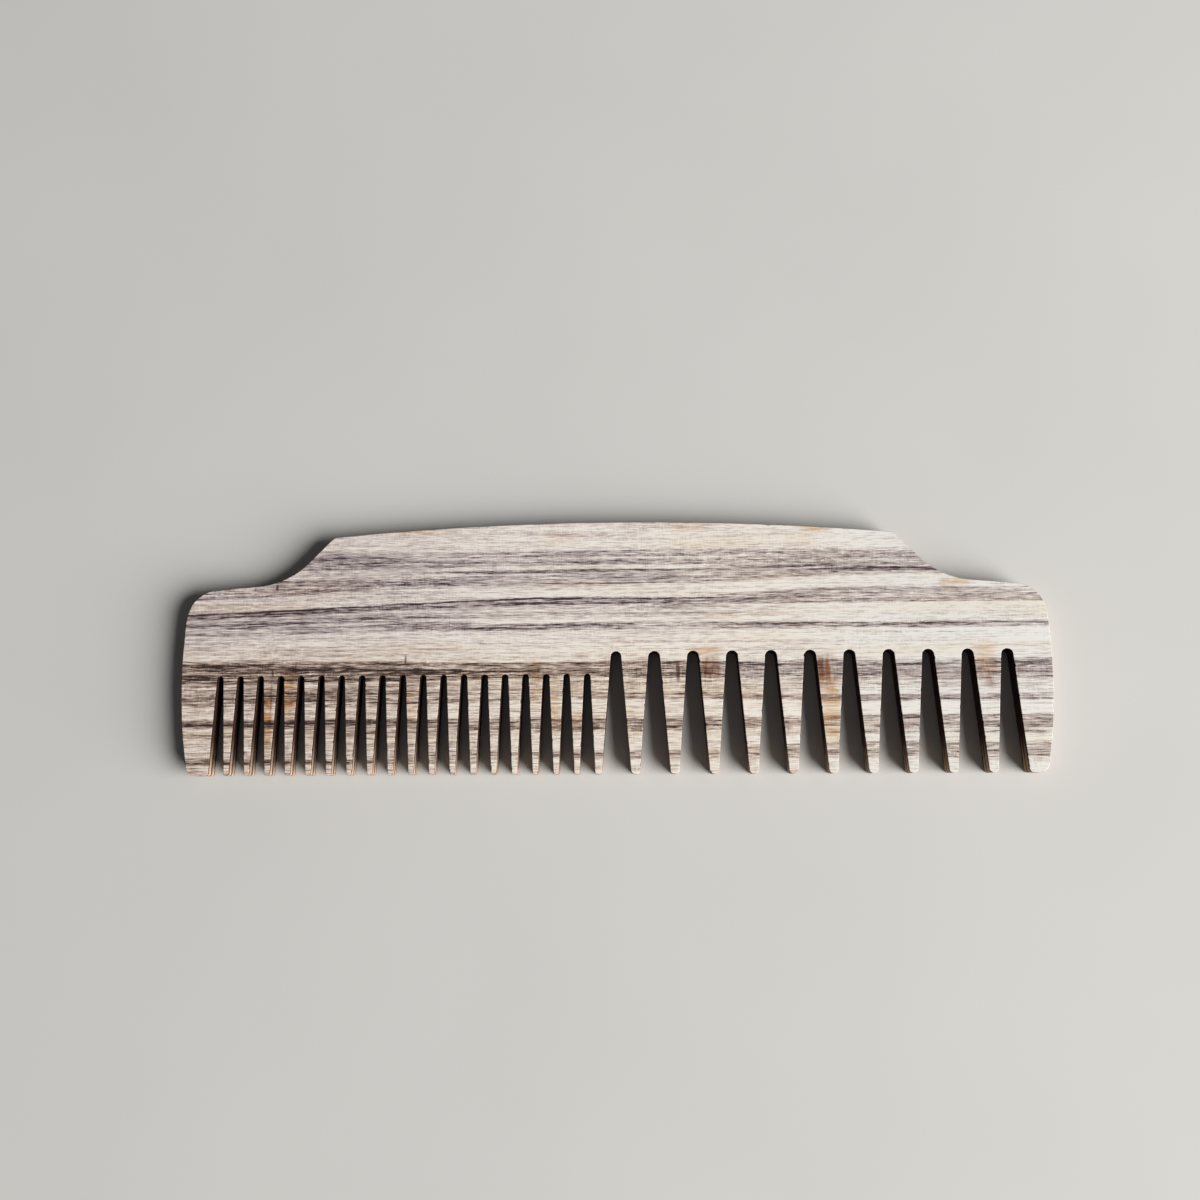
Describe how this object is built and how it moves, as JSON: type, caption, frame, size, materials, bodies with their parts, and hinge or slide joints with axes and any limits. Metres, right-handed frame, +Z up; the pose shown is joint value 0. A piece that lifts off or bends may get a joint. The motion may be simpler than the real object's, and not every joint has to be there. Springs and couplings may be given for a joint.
{
  "type": "beard comb",
  "caption": "Flat two-pitch beard comb cut from a cross-laminated wooden board, with fine teeth at one end, coarse teeth at the other and a crowned spine with stepped ends.",
  "frame": {"origin": "centre of the comb's bounding rectangle, on the back face that it lies on", "axes": "+X along the comb towards the coarse teeth, +Y from the tooth tips towards the spine, +Z up through the thickness, out of the striped front face"},
  "size_m": [0.1506, 0.044, 0.0035],
  "materials": {
    "face_veneer": "striped zebrano veneer, sanded, unvarnished",
    "cross_ply": "pale wood, routed edge",
    "core_ply": "brown end grain, routed edge",
    "wood_glue": "cured wood glue"
  },
  "bodies": {
    "root": {"front_face_veneer": "face_veneer", "front_veneer_glue": "wood_glue", "front_cross_ply": "cross_ply", "front_core_glue": "wood_glue", "core_ply": "core_ply", "back_core_glue": "wood_glue", "back_cross_ply": "cross_ply", "back_veneer_glue": "wood_glue", "back_face_veneer": "face_veneer"}
  },
  "joints": []
}
